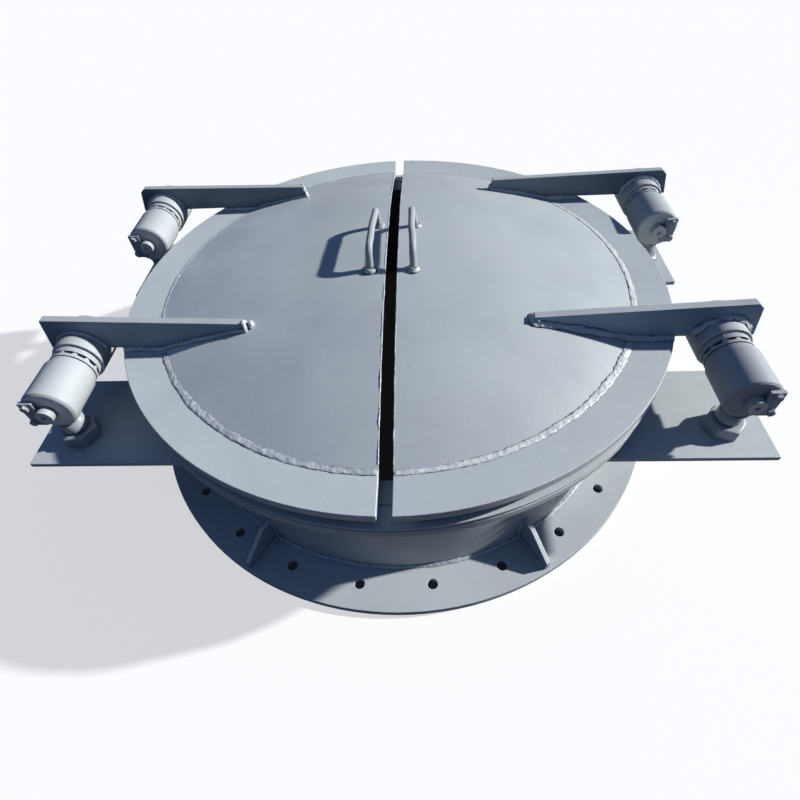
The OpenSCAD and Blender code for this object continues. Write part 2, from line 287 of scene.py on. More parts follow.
def paint(name, light, dark, rough=0.42, wear=0.5, grime_and_shade=0.55, deep=0.022,
          painted_flank_shade=None, front=None, left=None, painted_light_ramp=None):
    """Brushed and sprayed blue-grey paint on steel plate, with dirt and painted shade in its corners to
    the depth deep, in metres, with its edges rubbed bright, and with painted light and shade by the way a
    face is turned where gains are given."""
    n = Nodes(name)
    blotch = n.span(n.noise(5.5, 4.0, 0.55), 0.34, 0.66)
    colour = n.mix(blotch, light, dark)
    haze = n.span(n.noise(1.7, 2.0, 0.5), 0.38, 0.62)
    colour = n.mix(n.math("MULTIPLY", haze, HAZE), colour, tuple(c * k for c, k in zip(light, HAZE_TINT)))
    # Painted light and shade by the way a face is turned.
    colour = paint_light_and_shade_by_facing(n, colour, painted_flank_shade, front, left, painted_light_ramp)
    speck = n.span(n.noise(420.0, 2.0, 0.6), 0.62, 0.74)
    colour = n.mix(n.math("MULTIPLY", speck, SPECKS), colour, scaled(dark, SPECK_GAIN))
    run = n.span(n.noise(9.0, 3.0, 0.6, (5.0, 5.0, 0.35)), 0.56, 0.72)
    colour = n.mix(n.math("MULTIPLY", run, RUNS), colour, scaled(dark, RUN_GAIN))
    # Dirt and painted shade in the corners, darkest where ambient occlusion is deep.
    dirt_and_shade = n.math("MULTIPLY", n.crevices(deep), n.span(n.noise(38.0, 3.0), 0.30, 0.62, 0.45, 1.0))
    colour = n.mix(n.math("MULTIPLY", dirt_and_shade, grime_and_shade), colour, GRIME_AND_SHADE)
    rubbed = n.math("MULTIPLY", n.edges(EDGE_WEAR), n.span(n.noise(26.0, 5.0, 0.7), 0.42, 0.60))
    colour = n.mix(n.math("MULTIPLY", rubbed, wear), colour, BARE)
    n.link(colour, n.bsdf.inputs["Base Color"])
    gloss = n.span(n.noise(13.0, 4.0, 0.6), 0.3, 0.7, rough - SMOOTHER, rough + ROUGHER)
    n.link(gloss, n.bsdf.inputs["Roughness"])
    n.bump([(n.noise(3.2, 2.0), WAVES), (n.noise(160.0, 3.0, 0.6), BRUSH), (n.noise(900.0, 2.0), PEEL)])
    n.bsdf.inputs["Specular IOR Level"].default_value = PAINT_SPECULAR
    return n.mat


def bead_paint(name, light, dark, dirt_and_shade=0.9):
    """Paint over a rough weld: glossier crests, dirt and painted shade at its toes and in its corners, and
    dirty pores. The point attribute "toe" of the mesh is 1 along a bead's edges."""
    n = Nodes(name)
    colour = n.mix(n.span(n.noise(70.0, 4.0, 0.6), 0.35, 0.65), light, dark)
    # Dirt and painted shade along the bead's toes.
    toe = n.tree.nodes.new("ShaderNodeAttribute")
    toe.attribute_name = "toe"
    broken = n.span(n.noise(85.0, 3.0, 0.6), 0.38, 0.56)
    toe_dirt_and_shade = n.math("MULTIPLY", toe.outputs["Fac"], broken)
    colour = n.mix(n.math("MULTIPLY", toe_dirt_and_shade, dirt_and_shade), colour, TOE_DIRT_AND_SHADE)
    pores = n.span(n.spots(240.0), 0.10, 0.02)
    patch = n.span(n.noise(45.0, 3.0), 0.52, 0.64)
    pitted = n.math("MULTIPLY", pores, patch)
    colour = n.mix(n.math("MULTIPLY", pitted, 0.8), colour, PORE_DIRT)
    # Dirt and painted shade in the weld's corners.
    colour = n.mix(n.math("MULTIPLY", n.crevices(WELD_DEEP), 0.7), colour, CORNER_DIRT_AND_SHADE)
    n.link(colour, n.bsdf.inputs["Base Color"])
    n.link(n.span(n.noise(120.0, 3.0), 0.3, 0.7, 0.30, 0.48), n.bsdf.inputs["Roughness"])
    n.bump([(n.noise(300.0, 4.0, 0.65), GRAIN), (n.noise(1100.0, 2.0), FINE_GRAIN)])
    n.bsdf.inputs["Specular IOR Level"].default_value = WELD_SPECULAR
    return n.mat


def rubber(name):
    """Matt black rubber."""
    n = Nodes(name)
    colour = n.mix(n.span(n.noise(60.0, 4.0), 0.35, 0.65), RUBBER_DARK, RUBBER_LIGHT)
    n.link(colour, n.bsdf.inputs["Base Color"])
    n.link(n.span(n.noise(90.0), 0.3, 0.7, 0.6, 0.8), n.bsdf.inputs["Roughness"])
    n.bump([(n.noise(500.0, 3.0), RUBBER_GRAIN)])
    return n.mat


# Base colours of the paint.
LIGHT = (0.410, 0.452, 0.470)
DARK = (0.378, 0.418, 0.442)
TURNED_LIGHT = (0.385, 0.415, 0.430)
TURNED_DARK = (0.350, 0.380, 0.400)

plate_paint = paint("plate_paint", LIGHT, DARK)
pale_paint = paint("pale_paint", scaled(LIGHT, 1.08), scaled(DARK, 1.08))
# The gussets' paint is paler, as painted light, with painted shade on their upright faces.
gusset_paint_with_painted_light_and_shade = paint("gusset_paint_with_painted_light_and_shade", scaled(LIGHT, 1.25), scaled(DARK, 1.25), painted_flank_shade=(0.46, 0.50, 0.60))

# The arms' upright faces get painted shade, darker than their tops, most of all at the rear and least
# at the right front arm; their paint is a little darker too.
ARM_LIGHT = scaled(LIGHT, 0.92)
ARM_DARK = scaled(DARK, 0.88)
arm_paint_with_painted_shade = paint("arm_paint_with_painted_shade", ARM_LIGHT, ARM_DARK, painted_flank_shade=(0.44, 0.56, 0.74))
right_front_arm_paint_with_painted_shade = paint("right_front_arm_paint_with_painted_shade", ARM_LIGHT, ARM_DARK, painted_flank_shade=(0.53, 0.70, 0.90))
rear_arm_paint_with_painted_shade = paint("rear_arm_paint_with_painted_shade", ARM_LIGHT, ARM_DARK, painted_flank_shade=(0.32, 0.39, 0.50))

# The left dome's paint grows paler towards its outer side: painted light.
DOME_LIGHT = scaled(LIGHT, 0.97)
DOME_DARK = scaled(DARK, 0.93)
dome_paint = paint("dome_paint", DOME_LIGHT, DOME_DARK, rough=0.40, wear=0.4)
left_dome_paint_with_painted_light = paint("left_dome_paint_with_painted_light", DOME_LIGHT, DOME_DARK, rough=0.40, wear=0.4, painted_light_ramp=(-0.16, -0.47, 1.45))

# Turned parts get painted light on their faces along Y. The left front boss and housing get more of it,
# and painted light on their faces turned to -X as well.
turned_paint_with_painted_light = paint("turned_paint_with_painted_light", TURNED_LIGHT, TURNED_DARK, rough=0.54, wear=0.6,
                     front=(1.55, 1.50, 1.42))
turned_paint_with_more_painted_light = paint("turned_paint_with_more_painted_light", TURNED_LIGHT, TURNED_DARK, rough=0.54, wear=0.6,
                          front=(1.85, 1.78, 1.68), left=(2.0, 1.9, 1.75))
# The right front housing's darker paint is painted shade.
shaded_paint = paint("shaded_paint", (0.300, 0.330, 0.360), (0.265, 0.295, 0.330), rough=0.58, wear=0.6)
rod_paint = paint("rod_paint", (0.33, 0.36, 0.375), (0.29, 0.32, 0.34), rough=0.50, wear=0.5)
# The lock rings get more dirt and painted shade in their notches.
ring_paint = paint("ring_paint", (0.37, 0.40, 0.42), (0.31, 0.34, 0.37), rough=0.50, wear=0.7,
                   grime_and_shade=0.95, deep=0.034)
neck_paint = paint("neck_paint", (0.37, 0.42, 0.44), (0.33, 0.375, 0.40), rough=0.46, wear=0.35)
fastener_paint = paint("fastener_paint", (0.33, 0.37, 0.40), (0.27, 0.31, 0.34), rough=0.40, wear=0.7,
                       grime_and_shade=0.8)
weld_paint = bead_paint("weld_paint", (0.48, 0.51, 0.53), (0.38, 0.42, 0.45))
# A lighter copy of the weld paint with less dirt and painted shade at its toes, as painted light.
weld_paint_with_painted_light = bead_paint("weld_paint_with_painted_light", (0.60, 0.635, 0.625), (0.47, 0.505, 0.52), dirt_and_shade=0.6)
gasket_rubber = rubber("gasket_rubber")

# Paint of the CAD nodes, by whole name, then by the name's start.
FINISH = {
    "neck": neck_paint,
    "seal_ring_left": neck_paint,
    "seal_ring_right": neck_paint,
    "gasket": gasket_rubber,
    "gussets": gusset_paint_with_painted_light_and_shade,
    "hex_nuts": fastener_paint,
    "keeper_plates": fastener_paint,
    "dome_left": left_dome_paint_with_painted_light,
    "dome_right": dome_paint,
    "flap_ring_left": pale_paint,
    "arm_fr": right_front_arm_paint_with_painted_shade,
    "arm_rl": rear_arm_paint_with_painted_shade,
    "arm_rr": rear_arm_paint_with_painted_shade,
    "boss_fl": turned_paint_with_more_painted_light,
    "housing_fl": turned_paint_with_more_painted_light,
    "housing_fr": shaded_paint}
FINISH_BY_START = {
    "arm": arm_paint_with_painted_shade,
    "boss": turned_paint_with_painted_light,
    "housing": turned_paint_with_painted_light,
    "shaft": turned_paint_with_painted_light,
    "handle": turned_paint_with_painted_light,
    "lock_rings": ring_paint,
    "stud": fastener_paint}


def finish_of(node):
    """Paint of a CAD node."""
    if node in FINISH:
        return FINISH[node]
    for start, material in FINISH_BY_START.items():
        if node.startswith(start):
            return material
    return plate_paint


# Rounding of the outer edges of the CAD nodes by the name's start, and of all others, in millimetres.
EDGE = {"lock_rings": 0.8, "gasket": 0.6, "seat_ring": 1.0, "hex_nuts": 0.8, "shaft": 1.2,
        "keeper_plates": 1.0, "dome": 1.6, "handle": 0.3, "housing": 1.1, "boss": 1.6}
PLAIN_EDGE = 1.5
# Edges sharper than this are rounded, and faces of flat plate within this angle are merged.
SHARP = math.radians(32)
COPLANAR = math.radians(0.2)
# Points closer than this are one, in metres.
SAME_POINT = 0.00001

# Nodes of flat plate, whose coplanar faces are merged before their edges are rounded.
FLAT = ("base_flange", "seat_flange", "seat_ring", "gussets", "side_plate", "flap_ring", "arm",
        "keeper_plates")


def dress_node(name, obj):
    """Gives a CAD node its paint and rounds its edges with modifiers, so that its mesh stays as it is."""
    obj.data.materials.clear()
    obj.data.materials.append(finish_of(name))
    rounding = next((w for start, w in EDGE.items() if name.startswith(start)), PLAIN_EDGE)
    seam = obj.modifiers.new("seam", "WELD")
    seam.merge_threshold = SAME_POINT
    if name.startswith(FLAT):
        plane = obj.modifiers.new("plane", "DECIMATE")
        plane.decimate_type = "DISSOLVE"
        plane.angle_limit = COPLANAR
    bevel = obj.modifiers.new("edge", "BEVEL")
    bevel.width = rounding * MM
    bevel.segments = 3
    bevel.limit_method = "ANGLE"
    bevel.angle_limit = SHARP
    bevel.loop_slide = False
    level = obj.modifiers.new("level", "WEIGHTED_NORMAL")
    level.mode = "FACE_AREA"
    level.weight = 100
    level.keep_sharp = True


# ---------------------------------------------------------------- meshes

def piece(name, verts, faces, material, body, slot="painted_steel", smooth=True):
    """Object with one material that moves with a body."""
    mesh = bpy.data.meshes.new(name)
    mesh.from_pydata(verts, [], faces)
    mesh.validate()
    for face in mesh.polygons:
        face.use_smooth = smooth
    mesh.materials.append(material)
    obj = bpy.data.objects.new(name, mesh)
    bpy.context.scene.collection.objects.link(obj)
    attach(obj, body)
    return obj


def skin(rings, closed=False):
    """Faces between rings of the same number of points, with caps on an open path."""
    count = len(rings[0])
    verts = [p for ring in rings for p in ring]
    faces = []
    spans = len(rings) if closed else len(rings) - 1
    for i in range(spans):
        a, b = i * count, (i + 1) % len(rings) * count
        for j in range(count):
            k = (j + 1) % count
            faces.append((a + j, a + k, b + k, b + j))
    if not closed:
        faces.append(tuple(reversed(range(count))))
        faces.append(tuple(range(len(verts) - count, len(verts))))
    return verts, faces


def joined(parts):
    """One mesh of several."""
    verts, faces = [], []
    for v, f in parts:
        start = len(verts)
        verts += v
        faces += [tuple(i + start for i in face) for face in f]
    return verts, faces


# ---------------------------------------------------------------- weld beads

# Half angle of a square corner.
FILLET = math.radians(45)
# Distance between a bead's mesh rings, pitch of its ripples, and how far its root is sunk.
BEAD_STEP = 1.3 * MM
BEAD_PITCH = 5.2 * MM
BEAD_ROOT = 0.6 * MM
# Faces across a bead's crown, and points in one of its mesh rings, the root included.
ACROSS = 8
POINTS = ACROSS + 2
# How sharply the dirt and painted shade at a bead's toes grow towards their edges.
TOE_POWER = 2.5
# Lengths below this, in metres, count as none.
TINY = 1e-9

# Hand work of a bead, as shares of its size: swell of its width, wander of its line, drift of its
# ripples, ragged edges, and then slow swell, lumps, grit and ripples on its crown.
SWELL = 0.28
WANDER = 0.16
DRIFT = 1.4
RAGGED = 0.34
CROWN_SWELL = 0.4
CROWN_LUMPS = 0.7
CROWN_GRIT = 0.4
CROWN_RIPPLES = 0.08
# Even part of the crown's rise, power of its round, and how far its ripples bow and its base sags.
CROWN_EVEN = 0.8
CROWN_POWER = 0.55
RIPPLE_BOW = 0.55
SAG = 0.10
# Size of an open run at its very ends, and mesh rings over which it grows to its full size.
TAPER_FROM = 0.45
TAPER_RINGS = 4

# Where the seeds of each kind of seam start.
SEED = {"dome": 11.0, "burr": 21.0, "arm": 31.0, "boss": 51.0, "neck": 71.0, "gusset": 80.0,
        "plate": 120.0, "collar": 140.0, "handle": 160.0}

# Leg and rise of each seam.
DOME_SEAM = (7.4 * MM, 1.5 * MM)
FOOT_SEAM = (6.5 * MM, 1.2 * MM)
SEAT_SEAM = (5.5 * MM, 1.0 * MM)
GUSSET_SEAM = (3.6 * MM, 0.8 * MM)
PLATE_SEAM = (5.5 * MM, 1.1 * MM)
COLLAR_SEAM = (4.5 * MM, 1.0 * MM)
HANDLE_SEAM = (5.6 * MM, 2.0 * MM)
# How far a seam starts from a corner and stops from an end.
SEAM_START = 2 * MM
SEAM_STOP = 1 * MM


def resample(path, step):
    """Even points along a path of (point, outward normal, size factor)."""
    out = []
    total = sum((b[0] - a[0]).length for a, b in zip(path, path[1:]))
    count = max(3, int(total / step))
    step = total / count
    run, need = 0.0, 0.0
    for a, b in zip(path, path[1:]):
        length = (b[0] - a[0]).length
        while need <= run + length + TINY and len(out) <= count:
            t = (need - run) / length if length > TINY else 0.0
            out.append((a[0].lerp(b[0], t), a[1].lerp(b[1], t).normalized(), a[2] + (b[2] - a[2]) * t))
            need += step
        run += length
    return out


def uneven(s, pace, seed, kind):
    """Noise from -1 to 1 at s metres along a run, with about pace changes in each metre. Kind keeps
    one noise of a run apart from the others."""
    return noise.noise(Vector((s * pace, seed, kind)))


def bead(path, leg, rise, half_angle, seed, closed=False, rough=1.0):
    """One run of hand weld in a corner: path of (point, outward normal, size factor), length of its
    leg, rise of its crown and half the corner's angle."""
    path = resample(path, BEAD_STEP)
    if closed:
        path = path[:-1]
    count = len(path)
    rings = []
    for i, (point, normal, factor) in enumerate(path):
        before = path[(i - 1) % count][0] if closed or i else path[0][0]
        after = path[(i + 1) % count][0] if closed or i < count - 1 else path[-1][0]
        along = (after - before).normalized()
        across = along.cross(normal).normalized()
        s = i * BEAD_STEP
        # Slow changes along the run: its way, its width and the pitch of its ripples.
        wander = uneven(s, 28, seed, 0.3)
        swell = uneven(s, 30, seed, 7.1)
        drift = BEAD_PITCH * DRIFT * uneven(s, 60, seed, 5.5)
        size = leg * factor * (1 + rough * SWELL * swell)
        end = 1.0 if closed else min(1.0, TAPER_FROM + min(i, count - 1 - i) / TAPER_RINGS)
        ring = []
        for j in range(ACROSS + 1):
            u = -1 + 2 * j / ACROSS
            crown = (1 - u * u) ** CROWN_POWER
            # Ripples bow forward at the crown, and lumps and grit break them up.
            wave = 0.5 + 0.5 * math.cos(TAU * ((s + drift) / BEAD_PITCH - RIPPLE_BOW * crown))
            lumps = uneven(s, 95, seed + 0.9 * u, 3.7)
            grit = uneven(s, 190, seed + 1.8 * u, 4.4)
            broken = CROWN_SWELL * swell + CROWN_LUMPS * lumps + CROWN_GRIT * grit
            relief = CROWN_EVEN + rough * broken + CROWN_RIPPLES * wave
            lift = rise * factor * end * relief * crown
            ragged = 1 + rough * RAGGED * uneven(s, 105, seed + 3 * u, 9.0)
            b = u * size * end * ragged * math.sin(half_angle)
            h = size * end * math.cos(half_angle) * (1 - SAG * (1 - abs(u)))
            ring.append(point + across * (b + wander * rough * WANDER * leg) + normal * (h + lift))
        ring.append(point - normal * BEAD_ROOT)
        rings.append(ring)
    return skin(rings, closed)


def arc(centre, radius, a0, a1, x_dir, y_dir, lean, steps, factor=1.0):
    """Arc of weld round an axis: lean is added to the radial direction for the corner's normal."""
    out = []
    for i in range(steps + 1):
        a = a0 + (a1 - a0) * i / steps
        radial = x_dir * math.cos(a) + y_dir * math.sin(a)
        out.append((centre + radial * radius, (radial + lean).normalized(), factor))
    return out


def straight(a, b, normal):
    """Straight path of weld from a to b."""
    return [(a, normal.normalized(), 1.0), (b, normal.normalized(), 1.0)]


def weld_piece(name, body, runs, lumps=(), look=weld_paint):
    """Runs of bead, with their toes marked for dirt and painted shade, and single lumps of weld metal."""
    obj = piece(name, *joined(list(runs) + list(lumps)), look, body)
    toe = obj.data.attributes.new("toe", "FLOAT", "POINT")
    count = sum(len(verts) for verts, _ in runs)
    values = [0.0] * len(obj.data.vertices)
    for i in range(count):
        j = i % POINTS
        values[i] = abs(2 * j / ACROSS - 1) ** TOE_POWER if j <= ACROSS else 0.0
    toe.data.foreach_set("value", values)


LUMP_RINGS = 11
LUMP_SIDES = 20
# Angles of a lump's first and last ring from its top, in degrees.
LUMP_TOP = 6
LUMP_FOOT = 102
# How quickly a lump's swell changes round it and down it.
LUMP_ROUND = 1.6
LUMP_DOWN = 1.5


def lump(centre, up, wide, long, tall, seed):
    """Rounded blob of weld metal standing on a surface: half widths along X and Y, and its height."""
    rings = []
    for i in range(LUMP_RINGS):
        polar = math.radians(LUMP_TOP + (LUMP_FOOT - LUMP_TOP) * i / (LUMP_RINGS - 1))
        ring = []
        for j in range(LUMP_SIDES):
            a = TAU * j / LUMP_SIDES
            spot = (math.cos(a) * LUMP_ROUND, math.sin(a) * LUMP_ROUND, polar * LUMP_DOWN + seed)
            swell = 1 + SWELL * noise.noise(Vector(spot))
            flat = X * (math.cos(a) * wide) + Y * (math.sin(a) * long)
            ring.append(centre + flat * (math.sin(polar) * swell) + up * (tall * math.cos(polar) * swell))
        rings.append(ring)
    return skin(rings)


def along_rim(stations):
    """Bead size by angle from the X axis: -90 at the front of the slit, 90 at the rear."""
    def size(a):
        for (a0, f0), (a1, f1) in zip(stations, stations[1:]):
            if a <= a1:
                return f0 + (f1 - f0) * (a - a0) / (a1 - a0)
        return stations[-1][1]
    return size


# Size of each dome's seam by angle, in degrees.
DOME_BEAD = {
    "left": along_rim([(-91, 0.80), (-45, 1.05), (-20, 0.6), (20, 0.42), (91, 0.36)]),
    "right": along_rim([(-91, 0.72), (-60, 0.85), (-30, 1.1), (10, 0.9), (40, 0.6), (91, 0.38)])}
# How far the seam stops from the slit, in radians.
RIM_GAP = 0.002
RIM_STEPS = 240


def dome_welds():
    """Seam round the foot of each dome, from slit to slit."""
    slope = math.asin(foot_r / dome_r)
    half = (math.pi - slope) / 2
    gap = math.asin(slit / foot_r) + RIM_GAP
    for name, body, s in FLAPS:
        path = []
        for i in range(RIM_STEPS + 1):
            a = -math.pi / 2 + gap + (math.pi - 2 * gap) * i / RIM_STEPS
            radial = Vector((s * math.cos(a), math.sin(a), 0))
            normal = (UP + radial * math.tan(slope / 2)).normalized()
            path.append((radial * foot_r + UP * top_z, normal, DOME_BEAD[name](math.degrees(a))))
        # The right dome's seam, turned to the light, takes the lighter weld paint: painted light.
        look = weld_paint if s < 0 else weld_paint_with_painted_light
        weld_piece("weld_dome_" + name, body, [bead(path, *DOME_SEAM, half, SEED["dome"] + s)], look=look)


# Leg and rise of the burr along the domes' cut edges, its roughness, how far it is sunk in, and
# how far it stops short of the dome's foot.
BURR_SEAM = (1.7 * MM, 0.6 * MM)
BURR_ROUGH = 2.0
BURR_IN = 1.5 * MM
BURR_SHORT = 12 * MM
BURR_STEPS = 120


def cut_edges():
    """Roll of burr along the flame-cut edge of each dome at the slit, without the dirt and painted shade
    of a weld's toes.
    """
    for name, body, s in FLAPS:
        path = []
        reach = foot_r - BURR_SHORT
        for i in range(BURR_STEPS + 1):
            y = reach * (2 * i / BURR_STEPS - 1)
            normal = (dome_normal(s * slit, y) - X * s).normalized()
            point = Vector((s * slit, y, dome_z(s * slit, y)))
            path.append((point - normal * BURR_IN, normal, 1.0))
        roll = bead(path, *BURR_SEAM, FILLET, SEED["burr"] + s, rough=BURR_ROUGH)
        weld_piece("cut_edge_" + name, body, [], [roll])


# Legs in millimetres, rises and roughness of the welds at the arms' feet and at their bosses.
ARM_LEG = {"fl": 6.5, "fr": 9.5, "rl": 6.0, "rr": 8.5}
BOSS_LEG = {"fl": 5.5, "fr": 8.5, "rl": 5.0, "rr": 7.0}
ARM_RISE = 1.6 * MM
BOSS_RISE = 1.4 * MM
ARM_ROUGH = 1.4
BOSS_ROUGH = {"fl": 0.8, "fr": 2.2, "rl": 0.8, "rr": 1.4}
# Size factor of the weld round an arm's tip.
TIP_SIZE = 1.1
# How far above the arm's underside a boss's weld starts.
BOSS_START = 6 * MM
# Steps of an arm's weld over the dome, over the ring and round the tip, and of a boss's weld.
DOME_STEPS = 24
RING_STEPS = 6
TIP_STEPS = 4
BOSS_STEPS = 48

# Lumps of weld at an arm's tip, in millimetres: ahead of the tip, behind the near face,
# half width, half length and height.
TIP_LUMPS = {
    "fl": ((3.5, 7, 5.0, 12, 17), (13.0, 10, 6.0, 9.0, 12)),
    "fr": ((-5.0, 7, 5.5, 10, 14),),
    "rl": ((1.5, 9, 4.2, 9, 28), (6.5, 1, 4.5, 7, 14)),
    "rr": ((4.5, 7, 6.0, 9, 15),)}


def arm_weld(corner):
    """Fillets along both sides of an arm's foot and round its tip."""
    lo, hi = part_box("arm_" + corner)
    s = side(corner)
    tip = min(abs(lo.x), abs(hi.x))
    near, far = lo.y, hi.y

    def station(x, y, out, factor):
        return (Vector((s * x, y, dome_z(x, y))), (out + dome_normal(s * x, y)).normalized(), factor)

    def run(y, out):
        end = math.sqrt(ring_r ** 2 - max(abs(near), abs(far)) ** 2) - SEAM_STOP
        foot = math.sqrt(foot_r ** 2 - y * y)
        over_dome = [tip + (foot - tip) * i / DOME_STEPS for i in range(DOME_STEPS + 1)]
        over_ring = [foot + (end - foot) * i / RING_STEPS for i in range(1, RING_STEPS + 1)]
        return [station(x, y, out, 1.0) for x in over_dome + over_ring]

    front = run(near, -Y)
    rear = run(far, Y)
    inward = Vector((-s, 0, 0))
    stops = [near + (far - near) * i / TIP_STEPS for i in range(1, TIP_STEPS)]
    turn = [station(tip, y, inward, TIP_SIZE) for y in stops]
    path = list(reversed(front)) + turn + rear
    seed = SEED["arm"] + CORNERS.index(corner)
    return bead(path, ARM_LEG[corner] * MM, ARM_RISE, FILLET, seed, rough=ARM_ROUGH)


def tip_lumps(corner):
    """Lumps of weld ahead of an arm's tip."""
    lo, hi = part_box("arm_" + corner)
    s = side(corner)
    tip = min(abs(lo.x), abs(hi.x))
    out = []
    for i, (ahead, behind, wide, long, tall) in enumerate(TIP_LUMPS[corner]):
        x, y = s * (tip - ahead * MM), lo.y + behind * MM
        seat = Vector((x, y, dome_z(x, y)))
        seed = 3.0 * i + CORNERS.index(corner)
        out.append(lump(seat, dome_normal(x, y), wide * MM, long * MM, tall * MM, seed))
    return out


def boss_welds(corner):
    """Half rings where the boss passes through the arm, at both faces."""
    lo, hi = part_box("arm_" + corner)
    radius = width("boss_" + corner) / 2
    axis = Vector((side(corner) * hinge_x, 0, top_z))
    a0 = math.asin((lo.z - top_z + BOSS_START) / radius)
    runs = []
    for y, lean in ((lo.y, -Y), (hi.y, Y)):
        path = arc(axis + Y * y, radius, a0, math.pi - a0, X, UP, lean, BOSS_STEPS)
        leg = BOSS_LEG[corner] * MM
        seed = SEED["boss"] + CORNERS.index(corner)
        runs.append(bead(path, leg, BOSS_RISE, FILLET, seed, rough=BOSS_ROUGH[corner]))
    return runs


def arm_welds():
    """One piece for each arm: its foot, its boss and the lumps at its tip."""
    for corner in CORNERS:
        runs = [arm_weld(corner)] + boss_welds(corner)
        weld_piece("weld_arm_" + corner, flap(corner), runs, tip_lumps(corner))


# Steps round the neck, and along a side plate's seam.
NECK_STEPS = 360
PLATE_STEPS = 60
# Number of gussets, and half their thickness.
GUSSETS = 6
GUSSET_HALF = 5 * MM


def neck_welds():
    """Seams round the neck, at the base flange and under the seat."""
    foot = arc(UP * flange_top, neck_r, 0, TAU, X, Y, UP, NECK_STEPS)
    seat = arc(UP * neck_top, neck_r, 0, TAU, X, Y, -UP, NECK_STEPS)
    weld_piece("weld_neck", "frame", [
        bead(foot, *FOOT_SEAM, FILLET, SEED["neck"], closed=True),
        bead(seat, *SEAT_SEAM, FILLET, SEED["neck"] + 1, closed=True)])


def gusset_welds():
    """Seams on both sides of each gusset, at the base flange and at the neck."""
    gusset_hi = high("gussets")
    reach, top = gusset_hi.x, gusset_hi.z
    runs = []
    for i in range(GUSSETS):
        turn = Matrix.Rotation(math.radians(360 / GUSSETS * i), 3, "Z")
        for sign in (-1, 1):
            out = turn @ Vector((0, sign, 0))
            radial = turn @ X
            base = out * GUSSET_HALF
            a = base + radial * (neck_r + SEAM_START) + UP * flange_top
            b = base + radial * (reach - SEAM_STOP) + UP * flange_top
            c = base + radial * neck_r + UP * (flange_top + SEAM_START)
            d = base + radial * neck_r + UP * (top - SEAM_STOP)
            seed = SEED["gusset"] + i * 4 + sign
            runs.append(bead(straight(a, b, out + UP), *GUSSET_SEAM, FILLET, seed))
            runs.append(bead(straight(c, d, out + radial), *GUSSET_SEAM, FILLET, seed + 2))
    weld_piece("weld_gussets", "frame", runs)


def side_plate_welds():
    """Seams above and below each side plate, round the neck."""
    runs = []
    for corner in CORNERS:
        lo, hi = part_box("side_plate_" + corner)
        a0, a1 = (math.asin(y / neck_r) for y in (lo.y + SEAM_START, hi.y - SEAM_START))
        direction = X * side(corner)
        for z, lean in ((hi.z, UP), (lo.z, -UP)):
            path = arc(UP * z, neck_r, a0, a1, direction, Y, lean, PLATE_STEPS)
            runs.append(bead(path, *PLATE_SEAM, FILLET, SEED["plate"] + CORNERS.index(corner) + z))
    weld_piece("weld_side_plates", "frame", runs)


# ---------------------------------------------------------------- studs, nuts and keeper screws

THREAD_R = 18 * MM
THREAD_PITCH = 4 * MM
THREAD_DEPTH = 2.2 * MM
THREAD_STEP = THREAD_PITCH / 8
# Height at which the plain collar starts above the thread.
COLLAR_Z = 262 * MM
STUD_SIDES = 64
STUD_ANGLES = [TAU * j / STUD_SIDES for j in range(STUD_SIDES)]
SADDLE_STEPS = 96
# Rounding of the collar's lower edge, in from its side and up, and share of the collar's radius
# at which its top is closed.
COLLAR_EDGE = ((1.2 * MM, 0.0), (0.3 * MM, 0.4 * MM), (0.0, 1.4 * MM))
TOP_SHARE = 0.6


def stud_size(corner):
    """A stud's axis in X and Y, the radius of its collar and that of the housing above it."""
    lo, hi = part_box("stud_" + corner)
    return (lo.x + hi.x) / 2, (lo.y + hi.y) / 2, (hi.x - lo.x) / 2, width("housing_" + corner) / 2


def thread_r(z, a):
    """Radius of the thread at a height and an angle: flat crests and roots, and sloping flanks."""
    phase = (z / THREAD_PITCH - a / TAU) % 1.0
    tooth = abs(2 * phase - 1)
    return THREAD_R - THREAD_DEPTH * min(1.0, max(0.0, 1.25 * tooth - 0.12))


def saddle_z(x, seat_r):
    """Height of a housing's underside at x from its axis."""
    return top_z - math.sqrt(seat_r ** 2 - x ** 2)


def stud_piece(corner):
    """Threaded stud with a plain collar whose top is cut to the housing's round."""
    node = "stud_" + corner
    cx, cy, collar_r, seat_r = stud_size(corner)
    rings = []

    def add(spots):
        """Adds a ring about the stud's axis, from a radius and a height for each angle."""
        rings.append([Vector((cx + r * math.cos(a), cy + r * math.sin(a), z))
                      for a, (r, z) in zip(STUD_ANGLES, spots)])

    z = low(node).z
    while z < COLLAR_Z:
        add([(thread_r(z, a), z) for a in STUD_ANGLES])
        z += THREAD_STEP
    add([(THREAD_R - THREAD_DEPTH, COLLAR_Z)] * STUD_SIDES)
    for inward, rise in COLLAR_EDGE:
        add([(collar_r - inward, COLLAR_Z + rise)] * STUD_SIDES)
    for r in (collar_r, collar_r * TOP_SHARE):
        add([(r, saddle_z(r * math.cos(a), seat_r)) for a in STUD_ANGLES])
    obj = piece("threaded_stud_" + corner, *skin(rings), fastener_paint, "frame", "fastener_steel")
    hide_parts(node)


def stud_saddle(corner):
    """Seam where a stud's collar meets the housing's round."""
    cx, cy, collar_r, seat_r = stud_size(corner)
    path = []
    for i in range(SADDLE_STEPS + 1):
        a = TAU * i / SADDLE_STEPS
        out = Vector((math.cos(a), math.sin(a), 0))
        x = collar_r * out.x
        z = saddle_z(x, seat_r)
        point = Vector((cx, cy, z)) + Vector((x, collar_r * out.y, 0))
        round_out = Vector((x, 0, z - top_z)).normalized()
        path.append((point, (out + round_out).normalized(), 1.0))
    return bead(path, *COLLAR_SEAM, FILLET, SEED["collar"] + CORNERS.index(corner), closed=True)


HEX_SIDES = 72
# Slope of the chamfer on a hexagon's top.
HEX_SLOPE = math.tan(math.radians(30))
